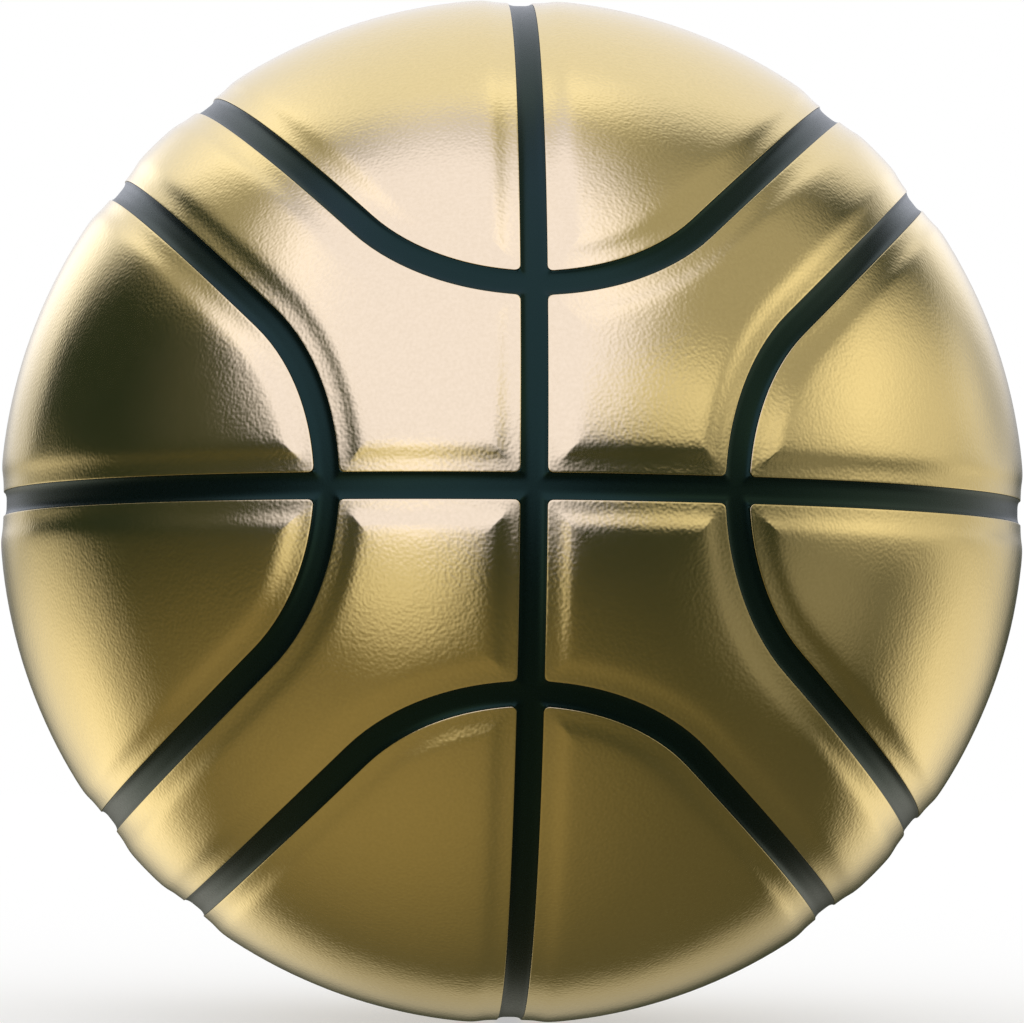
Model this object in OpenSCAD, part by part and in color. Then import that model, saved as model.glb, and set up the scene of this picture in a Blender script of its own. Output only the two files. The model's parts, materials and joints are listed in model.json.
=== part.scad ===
// Full-size indoor basketball, twelve cover panels, laid up in layers from the bladder out.
// Origin at the ball's centre, +Z up. The front crossing of the seams faces -Y, the flat seam
// lies in the XY plane and the upright seam in the YZ plane.

/* [Ball] */
// Outside diameter over the crowns of the panels
ball_d = 242; // [238:1:246]

/* [Seams] */
// Width of the channel between two panels
channel_w = 6.3; // [5.5:0.1:6.8]
// Depth of the channel floor below the crowns of the panels
channel_depth = 1.15; // [1:0.05:1.2]
// Angle from the front crossing to the tip of each oval seam
oval_tip = 21.3; // [20.8:0.1:21.8]
// Angular radius of the round ends of each oval seam
oval_end = 22.2; // [21.8:0.1:22.6]
// Angle from an oval's own axis to its long sides, halfway round the ball
oval_side = 38.2; // [37.8:0.1:38.6]

/* [Layers] */
// Thickness of a cover panel at its crown
cover_t = 1.3; // [1.2:0.05:1.4]
// Width of a panel's pressed border, from the channel to the crest where the crown starts
border_w = 6.2; // [5.8:0.1:6.6]
// Width of the border's low margin beside the channel, up to the foot of the step
margin_w = 2.4; // [2:0.1:2.8]
// Depth of the foot of the step below the crown
step_depth = 0.64; // [0.5:0.02:0.68]
// Depth of the panel's edge below the crown
edge_depth = 0.8; // [0.7:0.02:0.84]
// Thickness of the sponge pad behind each cover panel
pad_t = 1; // [0.8:0.05:1.2]
// Wall of the rubber carcass under the pads
carcass_t = 0.9; // [0.8:0.05:1.2]
// Thickness of the nylon winding
winding_t = 0.4; // [0.3:0.05:0.6]
// Wall of the bladder
bladder_t = 0.8; // [0.7:0.05:1]

/* [Valve] */
// Turn of the valve round the ball, from the front crossing towards the left
valve_lon = 140; // [135:1:145]
// Height of the valve above the flat seam, as an angle at the centre
valve_lat = 11; // [10:0.5:13]
// Radius of the needle hole in the plug
needle_r = 1; // [0.9:0.05:1.2]
// Radius of the plug's head, seen in the hole of the cover panel
plug_head_r = 3.9; // [3.6:0.1:4.2]
// Radius of the plug's shank and of the well that holds it
plug_r = 3; // [2.8:0.1:3.2]
// Radius of the valve housing's neck
neck_r = 5.5; // [5.2:0.1:6]
// Radius of the flange that bonds the housing to the bladder
flange_r = 13; // [11:0.5:16]

/* [Hidden] */
// Panels by place: name, is it one of the strips, x mirrored, z mirrored, x and z exchanged
PANELS = [
    ["right_upper", false, 0, 0, false],
    ["right_lower", false, 0, 1, false],
    ["left_upper", false, 1, 0, false],
    ["left_lower", false, 1, 1, false],
    ["top_right", false, 0, 0, true],
    ["top_left", false, 1, 0, true],
    ["bottom_right", false, 0, 1, true],
    ["bottom_left", false, 1, 1, true],
    ["strip_upper_right", true, 0, 0, false],
    ["strip_upper_left", true, 1, 0, false],
    ["strip_lower_right", true, 0, 1, false],
    ["strip_lower_left", true, 1, 1, false]
];
valve_panel = "left_upper";
$fn = 240;

// Radii of the layers, from the outside in
R = ball_d / 2;
pad_out = R - cover_t;
carcass_out = pad_out - pad_t;
winding_out = carcass_out - carcass_t;
bladder_out = winding_out - winding_t;
bladder_in = bladder_out - bladder_t;
rib_out = R - channel_depth;
beyond = 12;

// Each oval seam is four circles on the sphere that run smoothly into one another: two round ends
// and two long sides. The long sides' radius is the one that touches the ends without a corner.
degrees_per_mm = 180 / PI / R;
channel_half = channel_w / 2 * degrees_per_mm;
end_axis = oval_tip + oval_end;
side_radius = atan((sin(end_axis) * cos(oval_side) - cos(oval_end))
    / (sin(oval_end) - sin(end_axis) * sin(oval_side)));
side_axis = oval_side - side_radius;
end_turn = acos(cos(side_axis) * cos(end_axis) / sin(side_radius - oval_end));
side_turn = acos(-sin(end_axis) * sin(side_axis) / sin(side_radius - oval_end));
end_steps = 5;
side_steps = 20;
seam_steps = 3;

// Valve axis, and heights along it measured from the ball's centre
valve_axis = [-cos(valve_lat) * sin(valve_lon), -cos(valve_lat) * cos(valve_lon), sin(valve_lat)];
valve_slack = 0.3;
flange_t = 1.2;
plug_top = R - 0.6;
plug_head_round = 0.5;
needle_lead = 0.7;
needle_end = plug_top - 12;
bulb_h = 2.4;
bulb_out = 0.7;
plug_end = needle_end - 4.5;
housing_floor = 1.6;
housing_end = plug_end - housing_floor;
stem_r = plug_r + bulb_out + 1.2;
vent_r = 0.8;

function reversed(list) = [for (i = [len(list) - 1:-1:0]) list[i]];
function to_back(p) = [p.x, -p.y, p.z];
function exchanged(p) = [p.z, p.y, p.x];

// Point on the unit sphere at an angle from axis w, turned from u towards v
function on_circle(u, v, w, angle, turn) =
    cos(angle) * w + sin(angle) * (cos(turn) * u + sin(turn) * v);

// Points of the right-hand oval's front end and upper side, on a line that keeps a distance from the seam
function end_point(grow, turn) = on_circle([-cos(end_axis), -sin(end_axis), 0], [0, 0, 1],
    [sin(end_axis), -cos(end_axis), 0], oval_end + grow, turn);
function side_point(grow, turn) = on_circle([-sin(side_axis), 0, cos(side_axis)], [0, -1, 0],
    [cos(side_axis), 0, sin(side_axis)], side_radius + grow, turn);

// Point beside the flat seam, at a longitude from the front crossing
function seam_point(off, lon) = [cos(off) * sin(lon), -cos(off) * cos(lon), sin(off)];

// Longitude where the line beside the flat seam meets the line beside the oval
function corner_lon(grow, off) = end_axis - acos(cos(oval_end + grow) / cos(off));

// Upper half of the right-hand oval, from the front corner to the back corner
function oval_path(grow, off) =
    let (
        start = asin(sin(off) / sin(oval_end + grow)),
        front = [for (i = [0:end_steps]) end_point(grow, start + (end_turn - start) * i / end_steps)],
        side = [for (i = [1:side_steps - 1]) side_point(grow, side_turn * (1 - 2 * i / side_steps))]
    )
    concat(front, side, [for (p = reversed(front)) to_back(p)]);

// The two long edges of a half-oval panel and of a strip panel, drawn in from the seams by an angle
function half_oval_edges(off) =
    let (
        oval = oval_path(-off, off),
        steps = len(oval) - 1,
        lon = corner_lon(-off, off),
        seam = [for (i = [0:steps]) seam_point(off, lon + (180 - 2 * lon) * i / steps)]
    )
    [oval, seam];
function strip_edges(off) =
    let (
        from = asin(tan(off)),
        to = corner_lon(off, off),
        seam = [for (i = [0:seam_steps - 1]) seam_point(off, from + (to - from) * i / seam_steps)],
        low = concat(seam, oval_path(off, off), [for (p = reversed(seam)) to_back(p)])
    )
    [[for (p = low) exchanged(p)], low];
function edges(strip, off) = strip ? strip_edges(off) : half_oval_edges(off);

// Closed line round a panel, out along one edge and back along the other
function outline(strip, off) =
    let (pair = edges(strip, off), last = len(pair[0]) - 1)
    concat(pair[0], [for (i = [last - 1:-1:1]) pair[1][i]]);

// Solid through a stack of outlines, each given as [radius, outline], with both ends bridged over
module stack(layers) {
    round = len(layers[0][1]);
    far = round / 2;
    last = (len(layers) - 1) * round;
    walls = [
        for (k = [0:len(layers) - 2]) for (i = [0:round - 1])
            let (a = k * round + i, b = k * round + (i + 1) % round)
                each [[b + round, a + round, a], [b + round, a, b]]
    ];
    bridge = concat(
        [[0, 1, round - 1], [far, far + 1, far - 1]],
        [for (i = [1:far - 2]) each [[i, i + 1, round - i - 1], [i, round - i - 1, round - i]]]
    );
    lid = [for (face = bridge) [for (v = face) last + v]];
    floor = [for (face = bridge) reversed(face)];
    polyhedron([for (l = layers) for (p = l[1]) l[0] * p], concat(walls, lid, floor), convexity = 8);
}

// Sphere whose own join faces away from the panel that is cut from it
module ball(r) rotate([0, 0, 180]) sphere(r);

module shell(out, wall) {
    difference() {
        ball(out);
        ball(out - wall);
    }
}

// Everything inside a panel's edges, straight up from the centre
module pocket(strip) {
    edge = outline(strip, channel_half);
    stack([[bladder_in, edge], [R + beyond, edge]]);
}

// The same with the border pressed down: a low margin, and a step whose slope runs on past the crown
module cover_room(strip) {
    edge = outline(strip, channel_half);
    foot = outline(strip, channel_half + margin_w * degrees_per_mm);
    run_on = 2.2;
    crest_rise = step_depth * run_on / (border_w - margin_w);
    crest = outline(strip, channel_half + (border_w + run_on) * degrees_per_mm);
    stack([
        [bladder_in, edge],
        [R - edge_depth, edge],
        [R - step_depth, foot],
        [R + crest_rise, crest],
        [R + beyond, crest]
    ]);
}

module placed(panel) {
    mirror([panel[2], 0, 0]) mirror([0, 0, panel[3]]) {
        if (panel[4])
            mirror([1, 0, -1]) children();
        else
            children();
    }
}

module both_ways(axis) {
    children();
    mirror(axis) children();
}

// Stands a shape on the valve's axis, with its own z measured from the ball's centre
module on_valve() {
    rotate([0, 90 - valve_lat, atan2(valve_axis.y, valve_axis.x)]) children();
}

module valve_hole(r) on_valve() translate([0, 0, bladder_in - beyond]) cylinder(r = r, h = 2 * beyond);

module bladder() {
    color("dimgray") difference() {
        shell(bladder_out, bladder_t);
        valve_hole(neck_r);
    }
}

module thread_winding() {
    color("ivory") difference() {
        shell(winding_out, winding_t);
        valve_hole(neck_r);
    }
}

// One quarter of the carcass, between the flat and the upright seam, with its ribs standing up round the pads
module carcass_quarter() {
    module quarter_shell(out) {
        intersection() {
            rotate([0, 135, 0]) difference() {
                sphere(out);
                sphere(winding_out);
            }
            translate([0, -R, 0]) cube([R, 2 * R, R]);
        }
    }
    quarter_shell(carcass_out);
    difference() {
        quarter_shell(rib_out);
        pocket(false);
        mirror([1, 0, -1]) pocket(false);
        pocket(true);
    }
}

module carcass() {
    color([0.08, 0.1, 0.11]) difference() {
        both_ways([1, 0, 0]) both_ways([0, 0, 1]) carcass_quarter();
        valve_hole(neck_r);
    }
}

module pad(panel) {
    color("gray") difference() {
        placed(panel) intersection() {
            shell(pad_out, pad_t);
            pocket(panel[1]);
        }
        if (panel[0] == valve_panel)
            valve_hole(plug_head_r + valve_slack);
    }
}

module cover(panel) {
    color([0.85, 0.72, 0.42]) difference() {
        placed(panel) intersection() {
            shell(R, cover_t);
            cover_room(panel[1]);
        }
        if (panel[0] == valve_panel)
            valve_hole(plug_head_r + valve_slack);
    }
}

// Moulded cup with a curved flange under the bladder and a well for the plug
module valve_housing() {
    color([0.15, 0.15, 0.16]) on_valve() rotate_extrude() difference() {
        union() {
            intersection() {
                difference() {
                    circle(bladder_in);
                    circle(bladder_in - flange_t);
                }
                translate([0, bladder_in - beyond]) square([flange_r, 2 * beyond]);
            }
            polygon([
                [0, housing_end], [stem_r - 1, housing_end], [stem_r, housing_end + 1],
                [stem_r, bladder_in - 4], [neck_r, bladder_in - 2],
                [neck_r, carcass_out], [0, carcass_out]
            ]);
        }
        translate([-1, plug_end]) square([plug_r + 1, beyond * 2]);
        translate([0, plug_end]) square([plug_r + bulb_out, bulb_h]);
        translate([-1, housing_end - 1]) square([vent_r + 1, housing_floor + 2]);
    }
}

// Soft plug that closes on the needle, held in the well by its bulb
module valve_plug() {
    color([0.1, 0.1, 0.1]) on_valve() rotate_extrude() difference() {
        polygon([
            [0, plug_end], [plug_r + bulb_out, plug_end], [plug_r + bulb_out, plug_end + bulb_h],
            [plug_r, plug_end + bulb_h], [plug_r, carcass_out], [plug_head_r, carcass_out],
            [plug_head_r, plug_top - plug_head_round], [plug_head_r - plug_head_round, plug_top], [0, plug_top]
        ]);
        translate([-1, needle_end]) square([needle_r + 1, beyond * 2]);
        polygon([
            [0, plug_top - needle_lead], [needle_r, plug_top - needle_lead],
            [needle_r + needle_lead, plug_top], [needle_r + needle_lead, plug_top + 1], [0, plug_top + 1]
        ]);
    }
}

bladder();
valve_housing();
valve_plug();
thread_winding();
carcass();
for (p = PANELS) {
    pad(p);
    cover(p);
}
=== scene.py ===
import json
import math

import bmesh
import bpy
import numpy as np
from mathutils import Matrix, Vector, noise


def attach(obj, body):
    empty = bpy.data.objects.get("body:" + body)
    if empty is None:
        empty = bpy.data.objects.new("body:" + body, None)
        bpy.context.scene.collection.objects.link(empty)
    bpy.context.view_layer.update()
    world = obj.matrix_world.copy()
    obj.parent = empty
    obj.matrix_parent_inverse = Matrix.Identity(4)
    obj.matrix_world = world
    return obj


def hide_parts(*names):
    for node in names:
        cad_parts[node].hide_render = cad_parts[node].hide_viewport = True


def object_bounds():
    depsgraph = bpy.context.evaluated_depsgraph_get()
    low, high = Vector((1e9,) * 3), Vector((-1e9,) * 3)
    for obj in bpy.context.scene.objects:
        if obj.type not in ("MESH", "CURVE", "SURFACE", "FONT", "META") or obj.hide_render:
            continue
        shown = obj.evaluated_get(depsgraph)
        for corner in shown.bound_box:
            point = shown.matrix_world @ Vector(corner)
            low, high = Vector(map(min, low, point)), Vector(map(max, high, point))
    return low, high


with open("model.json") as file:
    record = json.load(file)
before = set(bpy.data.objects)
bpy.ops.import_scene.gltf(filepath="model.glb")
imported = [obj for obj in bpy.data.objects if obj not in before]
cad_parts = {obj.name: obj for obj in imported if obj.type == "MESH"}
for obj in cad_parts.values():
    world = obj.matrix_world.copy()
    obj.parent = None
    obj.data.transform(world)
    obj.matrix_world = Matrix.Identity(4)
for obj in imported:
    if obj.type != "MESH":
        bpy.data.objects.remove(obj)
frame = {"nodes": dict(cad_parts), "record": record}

cad_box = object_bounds()
scene = bpy.context.scene
scene.view_settings.view_transform = "Standard"

# Bladder
# The balloon that holds the air, moulded from butyl rubber in one piece and dusted with talc so that it
# doesn't stick to itself. The thread winding presses on it all round.
BLADDER_BLACK = "#232325"
TALC_GREY = "#4a4a4b"
TALC_PATCH_MM = 14
BLADDER_PEBBLE_MM = 0.6
BLADDER_PEBBLE_HEIGHT = 0.00005


def linear(colour):
    """Linear colour, with alpha, of an sRGB hex colour."""
    parts = [int(colour[i:i + 2], 16) / 255 for i in (1, 3, 5)]
    return [c / 12.92 if c <= 0.04045 else ((c + 0.055) / 1.055) ** 2.4 for c in parts] + [1.0]


def per_metre(size_mm):
    """Pattern scale that gives features of a size in millimetres."""
    return 1000 / size_mm


def put(tree, kind, feeds, **settings):
    """Adds a node with its settings. Each feed is a value or the socket that drives that input."""
    node = tree.nodes.new(kind)
    for name, value in settings.items():
        setattr(node, name, value)
    for name, value in feeds.items():
        if isinstance(value, bpy.types.NodeSocket):
            tree.links.new(value, node.inputs[name])
        else:
            node.inputs[name].default_value = value
    return node


def start_material(name):
    """New material with an empty tree, the coordinates for its patterns and the socket for its surface."""
    material = bpy.data.materials.new(name)
    material.use_nodes = True
    tree = material.node_tree
    tree.nodes.clear()
    surface = tree.nodes.new("ShaderNodeOutputMaterial").inputs["Surface"]
    place = tree.nodes.new("ShaderNodeTexCoord").outputs["Object"]
    return material, tree, place, surface


def talced_butyl():
    """Matt black moulding with pale, patchy talc and the fine pebble of the mould."""
    material, tree, place, surface = start_material("talced_butyl_rubber")
    patches = put(tree, "ShaderNodeTexNoise", {
        "Vector": place, "Scale": per_metre(TALC_PATCH_MM), "Detail": 6.0})
    colour = put(tree, "ShaderNodeMix", {
        0: patches.outputs["Fac"], 6: linear(BLADDER_BLACK), 7: linear(TALC_GREY)}, data_type="RGBA")
    pebble = put(tree, "ShaderNodeTexNoise", {"Vector": place, "Scale": per_metre(BLADDER_PEBBLE_MM)})
    relief = put(tree, "ShaderNodeBump", {"Height": pebble.outputs["Fac"], "Distance": BLADDER_PEBBLE_HEIGHT})
    shader = put(tree, "ShaderNodeBsdfPrincipled", {
        "Base Color": colour.outputs[2], "Roughness": 0.7, "Normal": relief.outputs["Normal"]})
    tree.links.new(shader.outputs["BSDF"], surface)
    return material


def dress(node, material):
    """Gives a part of the frame its finish."""
    part = frame["nodes"][node]
    part.data.materials.clear()
    part.data.materials.append(material)


dress("bladder", talced_butyl())

# Valve housing
# A cup moulded from harder black rubber, vulcanised to the bladder by its flange. Its neck goes out through
# the winding and the carcass, and its well holds the plug.
VALVE_BLACK = "#19191b"
MOULD_SPECK_MM = 0.4
MOULD_SPECK_HEIGHT = 0.00002


def moulded_rubber():
    """Plain black moulding, slightly shiny where the steel of the mould was smooth."""
    material, tree, place, surface = start_material("moulded_valve_rubber")
    speck = put(tree, "ShaderNodeTexNoise", {
        "Vector": place, "Scale": per_metre(MOULD_SPECK_MM), "Detail": 4.0})
    rough = put(tree, "ShaderNodeMapRange", {"Value": speck.outputs["Fac"], "To Min": 0.38, "To Max": 0.58})
    relief = put(tree, "ShaderNodeBump", {"Height": speck.outputs["Fac"], "Distance": MOULD_SPECK_HEIGHT})
    shader = put(tree, "ShaderNodeBsdfPrincipled", {
        "Base Color": linear(VALVE_BLACK), "Roughness": rough.outputs["Result"],
        "Normal": relief.outputs["Normal"]})
    tree.links.new(shader.outputs["BSDF"], surface)
    return material


valve_rubber = moulded_rubber()
dress("valve_housing", valve_rubber)

# Thread winding
# Some two kilometres of nylon thread, dipped in latex and wound over the bladder in every direction, which
# keeps the ball round and stops it growing.
NYLON_CREAM = "#d8d2c0"
LATEX_SHADE = "#a39a84"
THREAD_MM = 1.6
THREAD_HEIGHT = 0.0003
# One band of Blender's wave texture at a scale of 1
BAND_PERIOD = 2 * math.pi / 20
WINDING_TURNS = ((0, 0, 0), (60, 25, 0), (-60, 40, 35))


def wound_nylon():
    """Crossing rows of thread, drawn four threads wide so that the lay shows, with latex between them."""
    material, tree, place, surface = start_material("latex_dipped_nylon_winding")
    height = None
    for turn in WINDING_TURNS:
        lay = put(tree, "ShaderNodeMapping", {"Vector": place, "Rotation": [math.radians(a) for a in turn]})
        rows = put(tree, "ShaderNodeTexWave", {
            "Vector": lay.outputs["Vector"], "Scale": BAND_PERIOD * per_metre(THREAD_MM),
            "Distortion": 1.5}, bands_direction="Z")
        if height is None:
            height = rows.outputs["Fac"]
        else:
            height = put(tree, "ShaderNodeMath", {0: height, 1: rows.outputs["Fac"]},
                         operation="MAXIMUM").outputs[0]
    colour = put(tree, "ShaderNodeMix", {
        0: height, 6: linear(LATEX_SHADE), 7: linear(NYLON_CREAM)}, data_type="RGBA")
    relief = put(tree, "ShaderNodeBump", {"Height": height, "Distance": THREAD_HEIGHT})
    shader = put(tree, "ShaderNodeBsdfPrincipled", {
        "Base Color": colour.outputs[2], "Roughness": 0.6, "Normal": relief.outputs["Normal"]})
    tree.links.new(shader.outputs["BSDF"], surface)
    return material


dress("thread_winding", wound_nylon())

# Carcass
# Black rubber, moulded over the winding in a heated ball mould. Its ribs stand up between the panels, and
# their hollowed tops are the black channels of the seams. Pads and panels are glued into its pockets.
BALL_R = 0.121
COVER_T = 0.0013
PAD_T = 0.001
CARCASS_T = 0.0009
CHANNEL_W = 0.0058
OVAL_TIP = math.radians(21.3)
OVAL_END = math.radians(22.2)
OVAL_SIDE = math.radians(38.2)
CORNER_R = 0.0013
RIB_EDGE_DEPTH = 0.00105
RIB_HOLLOW = 0.00055
RIB_HOLLOW_POWER = 4
RIB_ROUND = 0.0002
CHANNEL_BLACK = "#050c0c"
CHANNEL_SHEEN = "#b8ffcd"
CHANNEL_SPECK_MM = 0.7
CHANNEL_SPECK_HEIGHT = 0.00001

pad_out = BALL_R - COVER_T
carcass_out = pad_out - PAD_T
winding_out = carcass_out - CARCASS_T
channel_half = CHANNEL_W / 2
end_axis = OVAL_TIP + OVAL_END
side_radius = math.atan((math.sin(end_axis) * math.cos(OVAL_SIDE) - math.cos(OVAL_END))
                        / (math.sin(OVAL_END) - math.sin(end_axis) * math.sin(OVAL_SIDE)))
side_axis = OVAL_SIDE - side_radius
junction = math.sin(side_radius - OVAL_END)
end_turn = math.acos(math.cos(side_axis) * math.cos(end_axis) / junction)
side_turn = math.acos(-math.sin(end_axis) * math.sin(side_axis) / junction)
end_centre = np.array([math.sin(end_axis), -math.cos(end_axis), 0])
side_centre = np.array([math.cos(side_axis), 0, math.sin(side_axis)])
END_STEPS = 26
SIDE_STEPS = 64
SEAM_STEPS = 30
CHANNEL_STEPS = 16
POCKET_STEPS = 12
TO_BACK = np.array([1, -1, 1])
QUARTER_TURN = np.array([[0, 0, 1], [0, 1, 0], [-1, 0, 0]])
PANELS = {
    "right_upper": (False, False, False, False), "right_lower": (False, False, True, False),
    "left_upper": (False, True, False, False), "left_lower": (False, True, True, False),
    "top_right": (False, False, False, True), "top_left": (False, True, False, True),
    "bottom_right": (False, False, True, True), "bottom_left": (False, True, True, True),
    "strip_upper_right": (True, False, False, False), "strip_upper_left": (True, True, False, False),
    "strip_lower_right": (True, False, True, False), "strip_lower_left": (True, True, True, False)}
VALVE_PANEL = "left_upper"
NECK_R = 0.0055
HOLE_STEPS = 48
HOLE_BEYOND = 0.002
valve_axis = Vector(next(m for m in frame["record"]["mounts"] if m["name"] == "needle_hole")["axis"])
CHANNEL_SHARE = (1 - np.cos(np.pi * np.arange(CHANNEL_STEPS + 1) / CHANNEL_STEPS)) / 2
POCKET_SHARE = np.linspace(0, 1, POCKET_STEPS + 1)
MERGE_DISTANCE = 2e-6
SHARP_EDGE = math.radians(50)


def on_sphere(points):
    """Points moved straight out or in to the unit sphere."""
    return points / np.linalg.norm(points, axis=-1, keepdims=True)


def on_circle(u, v, w, angle, turn):
    """Points at an angle from the axis w, turned from u towards v."""
    turn = np.asarray(turn)[:, None]
    return math.cos(angle) * w + math.sin(angle) * (np.cos(turn) * u + np.sin(turn) * v)


def oval_path(grow, off):
    """Upper half of the right-hand oval at a distance from its seam, from front corner to back corner."""
    start = math.asin(math.sin(off) / math.sin(OVAL_END + grow))
    share = (np.arange(END_STEPS + 1) / END_STEPS) ** 2
    front = on_circle(np.array([-math.cos(end_axis), -math.sin(end_axis), 0]), np.array([0, 0, 1]),
                      end_centre, OVAL_END + grow, start + (end_turn - start) * share)
    turns = side_turn * (1 - 2 * np.arange(1, SIDE_STEPS) / SIDE_STEPS)
    side = on_circle(np.array([-math.sin(side_axis), 0, math.cos(side_axis)]), np.array([0, -1, 0]),
                     side_centre, side_radius + grow, turns)
    return np.concatenate([front, side, front[::-1] * TO_BACK])


def seam_path(off, start, end, share):
    """Line beside the flat seam between two longitudes from the front crossing."""
    lon = start + (end - start) * share
    height = np.full(len(lon), math.sin(off))
    return np.stack([math.cos(off) * np.sin(lon), -math.cos(off) * np.cos(lon), height], 1)


def corner_lon(grow, off):
    """Longitude where the line beside the flat seam meets the line beside the oval."""
    return end_axis - math.acos(math.cos(OVAL_END + grow) / math.cos(off))


def half_oval_edges(off):
    """The two long edges of a half-oval panel, drawn in from the seams by an angle, and their corners."""
    oval = oval_path(-off, off)
    steps = np.linalg.norm(np.diff(oval_path(0, off), axis=0), axis=1)
    share = np.concatenate([[0], np.cumsum(steps)]) / steps.sum()
    lon = corner_lon(-off, off)
    return oval, seam_path(off, lon, math.pi - lon, share), (0, len(oval) - 1)


def strip_edges(off):
    """The same for a strip panel, whose edges run along the short seams and the two ovals beside it."""
    share = (1 - np.cos(np.pi * np.arange(SEAM_STEPS) / SEAM_STEPS)) / 2
    seam = seam_path(off, math.asin(math.tan(off)), corner_lon(off, off), share)
    low = np.concatenate([seam, oval_path(off, off), seam[::-1] * TO_BACK])
    last = len(low) - 1
    return low[:, ::-1].copy(), low, (0, SEAM_STEPS, last - SEAM_STEPS, last)


def panel_edges(strip, inset):
    """Both edges at a distance in metres from the channel, with the corners of the panel rounded."""
    edges = strip_edges if strip else half_oval_edges
    *lines, corners = edges((channel_half + inset) / BALL_R)
    *centres, _ = edges((channel_half + CORNER_R) / BALL_R)
    reach = (CORNER_R - inset) / BALL_R
    if reach > 0:
        for line, centre in zip(lines, centres):
            sharp = line.copy()
            for i in corners:
                near = np.linalg.norm(sharp - sharp[i], axis=1) < reach
                line[near] = on_sphere(centre[i] + on_sphere(sharp[near] - centre[i]) * reach)
    return lines


def oval_depth(p):
    """Angle by which points lie inside the right-hand or left-hand oval, negative outside."""
    q = np.abs(p) * TO_BACK
    split = np.cross(end_centre, side_centre)
    tip = np.array([math.sin(OVAL_TIP), -math.cos(OVAL_TIP), 0])
    by_end = (q @ split) * (tip @ split) > 0
    return np.where(by_end, OVAL_END - np.arccos(np.clip(q @ end_centre, -1, 1)),
                    side_radius - np.arccos(np.clip(q @ side_centre, -1, 1)))


def seam_distances(p):
    """Distances in metres to the side ovals, the top and bottom ovals, the flat and the upright seam."""
    flat, upright = (np.arcsin(np.clip(p[..., i], -1, 1)) for i in (2, 0))
    return BALL_R * np.abs(np.stack([oval_depth(p), oval_depth(p[..., ::-1]), flat, upright], -1))


def edge_distance(p):
    """Distance in metres from the rounded edge of the nearest panel, negative in the channels."""
    beyond = np.clip(CORNER_R + channel_half - seam_distances(p), 0, None)
    return CORNER_R - np.linalg.norm(beyond, axis=-1, keepdims=True)


def rib_radius(p):
    """Hollowed top of the ribs. Where two channels cross, the deeper one holds."""
    across = np.clip(seam_distances(p) / channel_half, 0, 1)
    hollow = RIB_HOLLOW * (1 - across ** RIB_HOLLOW_POWER).max(axis=-1, keepdims=True)
    room = np.clip(RIB_ROUND + edge_distance(p), 0, RIB_ROUND)
    rounded = RIB_ROUND - np.sqrt(RIB_ROUND ** 2 - room ** 2)
    return BALL_R - RIB_EDGE_DEPTH - hollow - rounded


def bridge(a, b, shares):
    """Rows of points from line a across to line b."""
    shares = np.asarray(shares)[:, None, None]
    return on_sphere(a * (1 - shares) + b * shares)


def grid_faces(rows, columns, first=0):
    """Quads of a grid of points, row by row."""
    return [(first + r * columns + c, first + r * columns + c + 1,
             first + (r + 1) * columns + c + 1, first + (r + 1) * columns + c)
            for r in range(rows - 1) for c in range(columns - 1)]


def placed(points, flip_x, flip_z, exchange):
    """Points of the upper right panel moved to another panel's place."""
    if exchange:
        points = points[..., ::-1]
    return points * [-1 if flip_x else 1, 1, -1 if flip_z else 1]


def join_grids(name, grids, cavity_r=0.0):
    """One closed mesh from grids of points, borders merged and faces outwards, or inwards round a cavity."""
    mesh = bpy.data.meshes.new(name)
    points, faces = [], []
    for grid in grids:
        faces += grid_faces(grid.shape[0], grid.shape[1], sum(len(p) for p in points))
        points.append(grid.reshape(-1, 3))
    mesh.from_pydata(np.concatenate(points).tolist(), [], faces)
    work = bmesh.new()
    work.from_mesh(mesh)
    bmesh.ops.remove_doubles(work, verts=work.verts, dist=MERGE_DISTANCE)
    bmesh.ops.recalc_face_normals(work, faces=work.faces)
    bmesh.ops.reverse_faces(work, faces=[f for f in work.faces if f.calc_center_median().length < cavity_r])
    work.to_mesh(mesh)
    work.free()
    mesh.shade_smooth()
    mesh.set_sharp_from_angle(angle=SHARP_EDGE)
    piece = bpy.data.objects.new(name, mesh)
    scene.collection.objects.link(piece)
    return piece


def panel_outline(strip, inset):
    """Closed line round a panel, out along one edge and back along the other."""
    a, b = panel_edges(strip, inset)
    return np.concatenate([a, b[-2::-1]])


def rib_tops():
    """Tops of all the ribs on the unit sphere: the seams round one oval, four times, and two crossings."""
    mirror_x, mirror_z = np.array([-1, 1, 1]), np.array([1, 1, -1])
    oval, seam = panel_edges(False, 0)
    _, low = panel_edges(True, 0)
    near, far = SEAM_STEPS, len(low) - 1 - SEAM_STEPS
    beside = bridge(oval, low[near:far + 1], CHANNEL_SHARE)
    grids = [beside, beside * mirror_z, bridge(seam, seam * mirror_z, CHANNEL_SHARE)]
    for stretch in (low[:near + 1], low[far:]):
        grids.append(bridge(stretch, stretch * mirror_z, CHANNEL_SHARE))
    for inside, outside in ((oval[0], low[near]), (oval[-1], low[far])):
        across = bridge(inside[None], outside[None], CHANNEL_SHARE)[:, 0]
        grids.append(bridge(across, across * mirror_z, CHANNEL_SHARE))
    corner = bridge(low[:1], low[:1] * mirror_z, CHANNEL_SHARE)[:, 0]
    crossing = bridge(corner, corner * mirror_x, CHANNEL_SHARE)
    turned = [grid @ np.linalg.matrix_power(QUARTER_TURN, turn) for turn in range(4) for grid in grids]
    return turned + [crossing, crossing * TO_BACK]


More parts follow.
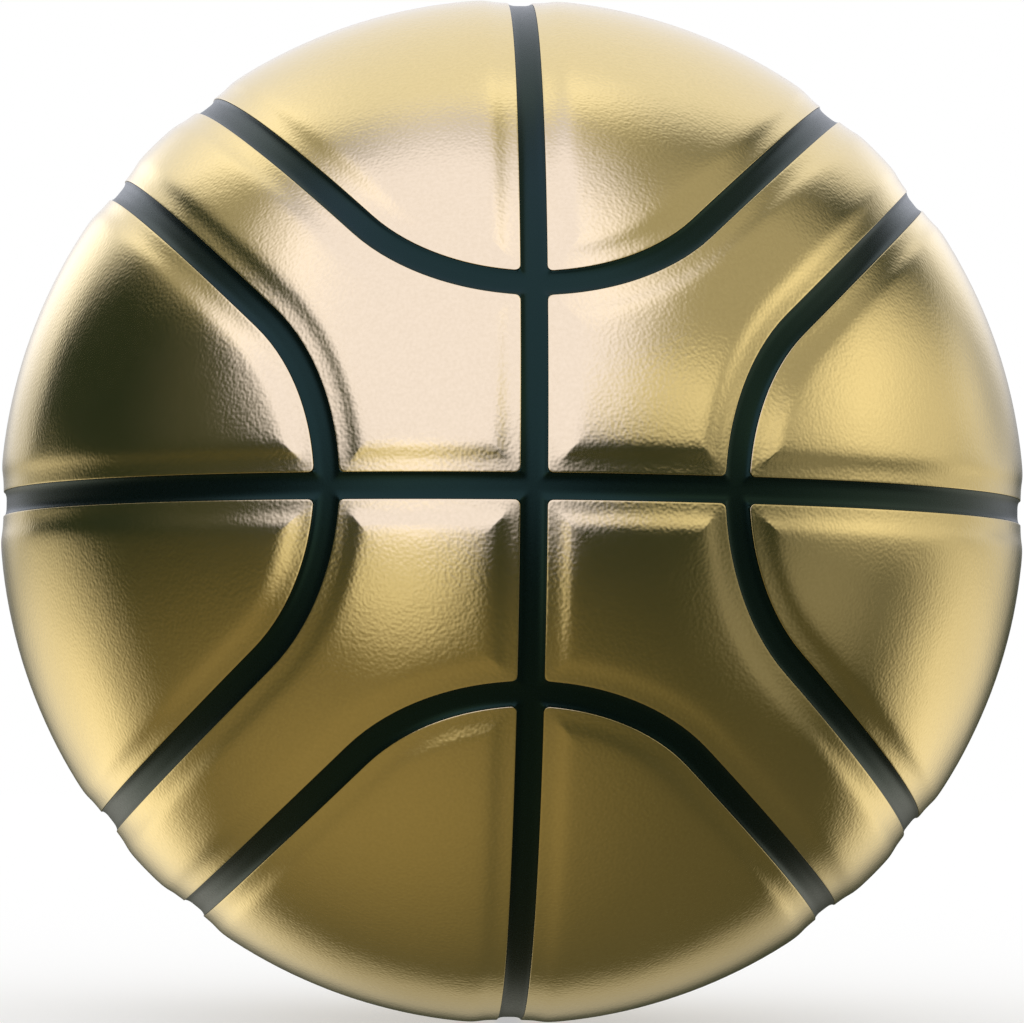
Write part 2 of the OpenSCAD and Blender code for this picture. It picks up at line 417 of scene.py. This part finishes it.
def carcass_grids():
    """Ribs, the walls and floors of the pockets between them, and the smooth inside."""
    grids = []
    for strip, *place in PANELS.values():
        outline = panel_outline(strip, 0)
        floor = bridge(*panel_edges(strip, 0), POCKET_SHARE)
        wall = np.stack([outline * rib_radius(outline), outline * carcass_out])
        grids += [placed(part, *place) for part in (wall, floor * carcass_out, floor * winding_out)]
    for top in rib_tops():
        grids += [top * rib_radius(top), top * winding_out]
    return grids


def cut_hole(piece, profile):
    """Cuts a hole along the valve's axis, turned from pairs of radius and height."""
    turn = np.linspace(0, 2 * math.pi, HOLE_STEPS + 1)
    rows = [np.stack([r * np.cos(turn), r * np.sin(turn), np.full(len(turn), h)], 1) for r, h in profile]
    cutter = join_grids("hole_cutter", [np.stack(rows)])
    cutter.rotation_euler = valve_axis.to_track_quat("Z", "Y").to_euler()
    boolean = piece.modifiers.new("hole", "BOOLEAN")
    boolean.object = cutter
    bpy.context.view_layer.update()
    cut = bpy.data.meshes.new_from_object(piece.evaluated_get(bpy.context.evaluated_depsgraph_get()))
    piece.modifiers.clear()
    piece.data = cut
    bpy.data.objects.remove(cutter)


def fit_piece(piece, node, material):
    """Gives a modelled piece its finish and puts it in the place of its part of the frame."""
    piece.data.materials.clear()
    piece.data.materials.append(material)
    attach(piece, "root")
    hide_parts(node)


def channel_rubber():
    """Black rubber as a polished mould leaves it: satin, with a sheen that its wax bloom turns green."""
    material, tree, place, surface = start_material("moulded_carcass_rubber")
    speck = put(tree, "ShaderNodeTexNoise", {
        "Vector": place, "Scale": per_metre(CHANNEL_SPECK_MM), "Detail": 3.0})
    rough = put(tree, "ShaderNodeMapRange", {"Value": speck.outputs["Fac"], "To Min": 0.22, "To Max": 0.34})
    relief = put(tree, "ShaderNodeBump", {"Height": speck.outputs["Fac"], "Distance": CHANNEL_SPECK_HEIGHT})
    shader = put(tree, "ShaderNodeBsdfPrincipled", {
        "Base Color": linear(CHANNEL_BLACK), "Roughness": rough.outputs["Result"],
        "Specular IOR Level": 0.32, "Specular Tint": linear(CHANNEL_SHEEN),
        "Normal": relief.outputs["Normal"]})
    tree.links.new(shader.outputs["BSDF"], surface)
    return material


carcass = join_grids("carcass_shell", carcass_grids(), (winding_out + carcass_out) / 2)
cut_hole(carcass, ((0, winding_out - HOLE_BEYOND), (NECK_R, winding_out - HOLE_BEYOND),
                   (NECK_R, BALL_R), (0, BALL_R)))
fit_piece(carcass, "carcass", channel_rubber())

# Sponge pads
# Twelve thin pads of closed-cell sponge rubber, die-cut to the shape of the panels and glued into the
# carcass's pockets. They give the ball its soft hand.
SPONGE_GREY = "#4c4c4e"
PAINTED_PORE_SHADE = "#2b2b2d"
PORE_MM = 0.5
PORE_DEPTH = 0.0001
PAD_ROUND = 0.00025
VALVE_HOLE_R = 0.0042


def sponge_rubber():
    """Dark, dull and finely pitted, because the skin was split off and the cut cells show. Its pits are
    darker: painted shade.
    """
    material, tree, place, surface = start_material("split_sponge_rubber")
    cells = put(tree, "ShaderNodeTexVoronoi", {"Vector": place, "Scale": per_metre(PORE_MM)})
    # The pits take a darker grey than the rest: painted shade in the cut cells.
    colour = put(tree, "ShaderNodeMix", {
        0: cells.outputs["Distance"], 6: linear(PAINTED_PORE_SHADE), 7: linear(SPONGE_GREY)}, data_type="RGBA")
    relief = put(tree, "ShaderNodeBump", {"Height": cells.outputs["Distance"], "Distance": PORE_DEPTH})
    shader = put(tree, "ShaderNodeBsdfPrincipled", {
        "Base Color": colour.outputs[2], "Roughness": 0.85, "Normal": relief.outputs["Normal"]})
    tree.links.new(shader.outputs["BSDF"], surface)
    return material


def pad_grids(strip):
    """A pad with its upper edge pressed round."""
    sides = [(0, carcass_out), (0, pad_out - PAD_ROUND), (PAD_ROUND / 3, pad_out - PAD_ROUND / 3),
             (PAD_ROUND, pad_out)]
    wall = np.stack([panel_outline(strip, inset) * r for inset, r in sides])
    under = bridge(*panel_edges(strip, 0), POCKET_SHARE) * carcass_out
    upper = bridge(*panel_edges(strip, PAD_ROUND), POCKET_SHARE) * pad_out
    return [wall, under, upper]


sponge = sponge_rubber()
for panel, (strip, *place) in PANELS.items():
    pad = join_grids("sponge_" + panel, [placed(grid, *place) for grid in pad_grids(strip)])
    if panel == VALVE_PANEL:
        cut_hole(pad, ((0, carcass_out - HOLE_BEYOND), (VALVE_HOLE_R, carcass_out - HOLE_BEYOND),
                       (VALVE_HOLE_R, BALL_R), (0, BALL_R)))
    fit_piece(pad, "pad_" + panel, sponge)

# Cover panels
# Twelve panels die-cut from synthetic leather with a gold metallic coat. Their borders are skived thin,
# pressed down and rolled over beside the channels, and each is glued to its pad. One has the valve's hole.
GOLD = "#f1d998"
# Darker gold for the grain's hollows: painted shade.
GOLD_PAINTED_HOLLOW_SHADE = "#e8d090"
GRAIN_MM = 0.75
GRAIN_HEIGHT = 0.000032
CLOUD_MM = 9
CLOUD_HEIGHT = 0.00006
PRESS_MIDDLE = 0.0042
PRESS_REACH = 0.0018
PRESS_SLOPE = 0.17
MARGIN_SLOPE = 0.05
MITRE_POWER = 8
LIP_R = 0.00012
WAVE_MM = 14
WAVE_HEIGHT = 0.00003
WAVE_SHIFT = 14
BORDER_RINGS = 0.001 * np.array([0.5, 0.9, 1.4, 2, 2.6, 3.2, 3.8, 4.4, 5, 5.6, 6.3, 7.2, 8.3, 9.5])
lip_rings = LIP_R * (1 - np.cos(np.radians([0, 15, 30, 50, 70, 90])))
CROWN_STEPS = 18
CROWN_SHARE = np.linspace(0, 1, CROWN_STEPS + 1)
VALVE_LIP_R = 0.0006
valve_lip_bend = 0.3 * VALVE_LIP_R


def gold_radius(p, panel_number):
    """Outer face of the gold: an even crown with faint waves, the pressed border and the rolled lip."""
    d = seam_distances(p) - channel_half
    step = PRESS_SLOPE * PRESS_REACH * (1 - np.tanh((d - PRESS_MIDDLE) / PRESS_REACH))
    margin = MARGIN_SLOPE * PRESS_REACH * np.logaddexp(0, (PRESS_MIDDLE - d) / PRESS_REACH)
    border = np.linalg.norm(step + margin, ord=MITRE_POWER, axis=-1, keepdims=True)
    room = np.clip(LIP_R - edge_distance(p), 0, LIP_R)
    lip = LIP_R - np.sqrt(LIP_R ** 2 - room ** 2)
    spots = (p * BALL_R * per_metre(WAVE_MM)).reshape(-1, 3) + panel_number * WAVE_SHIFT
    waves = np.array([noise.noise(Vector(spot)) for spot in spots]).reshape(lip.shape)
    return BALL_R - border - lip - WAVE_HEIGHT * (1 - waves)


def gold_grids(strip, panel_number):
    """Lip, border and crown of a panel, its cut edge and its back."""
    rings = np.stack([panel_outline(strip, inset) for inset in (*lip_rings, *BORDER_RINGS)])
    crown = bridge(*panel_edges(strip, BORDER_RINGS[-1]), CROWN_SHARE)
    rings, crown = (part * gold_radius(part, panel_number) for part in (rings, crown))
    back = bridge(*panel_edges(strip, 0), POCKET_SHARE) * pad_out
    edge = np.stack([rings[0], panel_outline(strip, 0) * pad_out])
    return [rings, crown, edge, back]


def gold_leather():
    """Polyurethane skin with metal flake in its top coat: a soft mirror broken by a shallow grain, with
    painted shade in its hollows.
    """
    material, tree, place, surface = start_material("gold_coated_synthetic_leather")
    cloud = put(tree, "ShaderNodeTexNoise", {"Vector": place, "Scale": per_metre(CLOUD_MM), "Detail": 3.0})
    uneven = put(tree, "ShaderNodeBump", {"Height": cloud.outputs["Fac"], "Distance": CLOUD_HEIGHT})
    grain = put(tree, "ShaderNodeTexNoise", {"Vector": place, "Scale": per_metre(GRAIN_MM), "Detail": 0.0})
    relief = put(tree, "ShaderNodeBump", {
        "Height": grain.outputs["Fac"], "Distance": GRAIN_HEIGHT, "Normal": uneven.outputs["Normal"]})
    rough = put(tree, "ShaderNodeMapRange", {"Value": cloud.outputs["Fac"], "To Min": 0.12, "To Max": 0.18})
    # The grain's hollows take a darker gold than its crests: painted shade.
    colour = put(tree, "ShaderNodeMix", {
        0: grain.outputs["Fac"], 6: linear(GOLD_PAINTED_HOLLOW_SHADE), 7: linear(GOLD)}, data_type="RGBA")
    shader = put(tree, "ShaderNodeBsdfPrincipled", {
        "Base Color": colour.outputs[2], "Metallic": 1.0, "Roughness": rough.outputs["Result"],
        "Normal": relief.outputs["Normal"]})
    tree.links.new(shader.outputs["BSDF"], surface)
    return material


gold = gold_leather()
for panel_number, (panel, (strip, *place)) in enumerate(PANELS.items()):
    cover = join_grids("gold_" + panel, [placed(grid, *place) for grid in gold_grids(strip, panel_number)])
    if panel == VALVE_PANEL:
        rim_r = VALVE_HOLE_R + VALVE_LIP_R
        cut_hole(cover, ((0, carcass_out), (VALVE_HOLE_R, carcass_out), (VALVE_HOLE_R, BALL_R - VALVE_LIP_R),
                         (VALVE_HOLE_R + valve_lip_bend, BALL_R - valve_lip_bend),
                         (rim_r, BALL_R), (rim_r, BALL_R + HOLE_BEYOND), (0, BALL_R + HOLE_BEYOND)))
    fit_piece(cover, "cover_" + panel, gold)

# Valve plug
# A soft rubber plug pushed into the well of the housing, its head just below the face of the panel. The
# pump's needle goes through the hole in its middle.
dress("valve_plug", valve_rubber)

# Floor
# A wide sheet of pale matt laminate. Its glow makes it as white as the room behind it for the camera, and it
# keeps the ball's shadow. In the gold, a painted glow on the set's cloth stands in its place.
FLOOR_PALE = "#bcbcbc"
FLOOR_GLOW = 0.5
FLOOR_HALF = 2.5


def stage_piece(name, points, faces, material):
    """Adds a piece of the studio, which isn't part of the ball."""
    mesh = bpy.data.meshes.new(name)
    mesh.from_pydata(points, [], faces)
    mesh.materials.append(material)
    mesh.shade_smooth()
    piece = bpy.data.objects.new(name, mesh)
    scene.collection.objects.link(piece)
    return piece


def pale_laminate():
    """Matt board that glows for the camera, a mirror or glass. From below it is clear."""
    material, tree, _, surface = start_material("pale_matt_laminate")
    rays = put(tree, "ShaderNodeLightPath", {})
    direct = put(tree, "ShaderNodeMath", {
        0: rays.outputs["Is Camera Ray"], 1: rays.outputs["Is Glossy Ray"]}, operation="MAXIMUM")
    seen = put(tree, "ShaderNodeMath", {
        0: direct.outputs[0], 1: rays.outputs["Is Transmission Ray"]}, operation="MAXIMUM")
    level = put(tree, "ShaderNodeMath", {0: seen.outputs[0], 1: FLOOR_GLOW}, operation="MULTIPLY")
    glow = put(tree, "ShaderNodeEmission", {"Color": linear("#ffffff"), "Strength": level.outputs[0]})
    board = put(tree, "ShaderNodeBsdfDiffuse", {"Color": linear(FLOOR_PALE)})
    upper = put(tree, "ShaderNodeAddShader", {0: board.outputs["BSDF"], 1: glow.outputs["Emission"]})
    side = put(tree, "ShaderNodeNewGeometry", {})
    clear = put(tree, "ShaderNodeBsdfTransparent", {})
    shader = put(tree, "ShaderNodeMixShader", {
        0: side.outputs["Backfacing"], 1: upper.outputs["Shader"], 2: clear.outputs["BSDF"]})
    tree.links.new(shader.outputs["Shader"], surface)
    material.cycles.emission_sampling = "NONE"
    return material


floor_z = cad_box[0].z
floor_points = [(x * FLOOR_HALF, y * FLOOR_HALF, floor_z) for x, y in ((-1, -1), (1, -1), (1, 1), (-1, 1))]
floor = stage_piece("floor", floor_points, [(0, 1, 2, 3)], pale_laminate())
floor.visible_glossy = False

# Curtain, softboxes and painted glows
# Dark green felt hung all round the set, with cloth-fronted lamps let into it, which the gold mirrors. The
# felt itself, a wall, two boards and the floor below the ball are painted on it as glows that stand in for
# their reflections. It lets the room's even light through, and the camera doesn't see it.
PAINTED_FELT_GLOW = "#29342d"
COOL_WHITE = "#c0c4ff"
DAYLIGHT = "#f0f1ff"
LAMP_AND_GLOW_WHITE = "#fffaf0"
PAINTED_SAND_GLOW = "#ffe6a8"
CURTAIN_R = 8.0
AZIMUTH_STEPS = 240
ELEVATION_STEPS = 120
# Each lamp is set from the ball's reflections. It has its azimuth from the front, its elevation, two
# half-widths and a roll in degrees, the softness of its edge, a colour, and a level at which 1 is white.
SOFTBOXES_AND_PAINTED_GLOWS = {
    "key_softbox": (-21, 42, 39, 48, 15, 0.25, COOL_WHITE, 2.0),
    "low_left_softbox": (-27, -14, 15, 15, 0, 0.7, LAMP_AND_GLOW_WHITE, 0.7),
    "left_faint_glow": (-68, 22, 18, 18, 0, 0.9, LAMP_AND_GLOW_WHITE, 0.05),
    "left_top_glow": (-105, 48, 28, 12, 0, 0.7, LAMP_AND_GLOW_WHITE, 0.35),
    "right_top_glow": (115, 80, 12, 10, 0, 0.7, LAMP_AND_GLOW_WHITE, 0.35),
    "front_strip": (35, 18, 16, 11, 0, 0.7, LAMP_AND_GLOW_WHITE, 0.6),
    # A painted reflection of a lit wall, not a lamp.
    "painted_right_wall_glow": (66, 38, 31, 34, 0, 0.4, LAMP_AND_GLOW_WHITE, 0.4),
    "right_softbox": (97, 15, 27, 17, 0, 0.6, LAMP_AND_GLOW_WHITE, 0.72),
    "right_low_glow": (70, -14, 20, 14, 0, 0.8, LAMP_AND_GLOW_WHITE, 0.2),
    "back_window": (-178, 44, 40, 41, 0, 0.2, DAYLIGHT, 1.05),
    "back_left_pane": (-150, 13, 13, 12, 0, 0.4, DAYLIGHT, 0.6),
    "back_right_pane": (140, 12, 19, 12, 0, 0.5, DAYLIGHT, 0.55),
    # A painted reflection of a lit board behind the ball, not a lamp.
    "painted_back_board_glow": (180, -34, 45, 12, 0, 0.6, LAMP_AND_GLOW_WHITE, 0.35),
    "left_kicker": (-138, -18, 24, 18, 0, 0.7, LAMP_AND_GLOW_WHITE, 0.88),
    "right_kicker": (128, -15, 24, 16, 0, 0.6, LAMP_AND_GLOW_WHITE, 0.8),
    # Painted reflections of a sand-coloured board and of the floor below the ball, not lamps.
    "painted_sand_board_glow": (-60, -55, 42, 34, 0, 0.8, PAINTED_SAND_GLOW, 0.16),
    "painted_sand_floor_glow": (0, -90, 60, 60, 0, 0.8, PAINTED_SAND_GLOW, 0.1),
}


def aim(azimuth, elevation):
    """Turn from straight in front of the ball to a direction, as a matrix for rows of points."""
    sideways = Matrix.Rotation(math.radians(azimuth), 3, "Z")
    upwards = Matrix.Rotation(math.radians(-elevation), 3, "X")
    return np.array((sideways @ upwards).transposed())


def softbox_or_glow_share(points, azimuth, elevation, half_width, half_height, roll, softness):
    """How much of a lamp or painted glow each point of the curtain shows, 1 in its middle and fading out over
    its edge.
    """
    x, y, z = (on_sphere(points) @ aim(azimuth, elevation).T).T
    reach = np.degrees(np.arccos(np.clip(-y, -1, 1)))
    lean = np.arctan2(z, x) - math.radians(roll)
    share = reach * np.hypot(np.cos(lean) / half_width, np.sin(lean) / half_height)
    fade = np.clip((1 + softness - share) / (2 * softness), 0, 1)
    return fade * fade * (3 - 2 * fade)


def lamp_cloth():
    """Felt painted as a faint green glow in place of the little light it would give back, and glowing cloth
    where the lamps and the painted glows are.
    """
    material, tree, _, surface = start_material("painted_felt_glow_and_lamp_cloth")
    glow = put(tree, "ShaderNodeAttribute", {}, attribute_name="glow")
    shader = put(tree, "ShaderNodeEmission", {"Color": glow.outputs["Color"]})
    tree.links.new(shader.outputs["Emission"], surface)
    material.cycles.emission_sampling = "NONE"
    return material


azimuths, elevations = np.meshgrid(np.radians(np.linspace(-180, 180, AZIMUTH_STEPS + 1)),
                                   np.radians(np.linspace(-90, 90, ELEVATION_STEPS + 1)))
curtain_points = CURTAIN_R * np.stack([
    np.sin(azimuths) * np.cos(elevations), -np.cos(azimuths) * np.cos(elevations), np.sin(elevations)],
    -1).reshape(-1, 3)
curtain = stage_piece("curtain", curtain_points.tolist(), grid_faces(*azimuths.shape), lamp_cloth())
glow = np.zeros((len(curtain_points), 4)) + linear(PAINTED_FELT_GLOW)
for *place, colour, level in SOFTBOXES_AND_PAINTED_GLOWS.values():
    glow += np.outer(level * softbox_or_glow_share(curtain_points, *place), linear(colour))
curtain.data.attributes.new("glow", "FLOAT_COLOR", "POINT").data.foreach_set("color", glow.ravel())
curtain.visible_camera = False
curtain.visible_diffuse = False
curtain.visible_shadow = False

# White room
# The room is plain white all round, and lights the set so that a matt colour looks as it is written.
world = bpy.data.worlds.new("white_room")
scene.world = world
world.use_nodes = True
world.cycles.sampling_method = "NONE"
room = world.node_tree
room.nodes.clear()
white = put(room, "ShaderNodeBackground", {"Color": linear("#ffffff"), "Strength": 1.0})
room.links.new(white.outputs["Background"], put(room, "ShaderNodeOutputWorld", {}).inputs["Surface"])

# Camera
# A long lens, square on to the front crossing and a little below the middle of the ball.
AZIMUTH = math.radians(-2.2)
ELEVATION = math.radians(-2.6)
ROLL = math.radians(0.5)
DISTANCE = 8.47 * BALL_R
LENS_MM = 151.5
lens = bpy.data.cameras.new("camera")
lens.lens = LENS_MM
camera = bpy.data.objects.new("camera", lens)
scene.collection.objects.link(camera)
facing = (Matrix.Rotation(AZIMUTH, 4, "Z") @ Matrix.Rotation(math.pi / 2 - ELEVATION, 4, "X")
          @ Matrix.Rotation(ROLL, 4, "Z"))
camera.matrix_world = facing @ Matrix.Translation((0, 0, DISTANCE))
scene.camera = camera
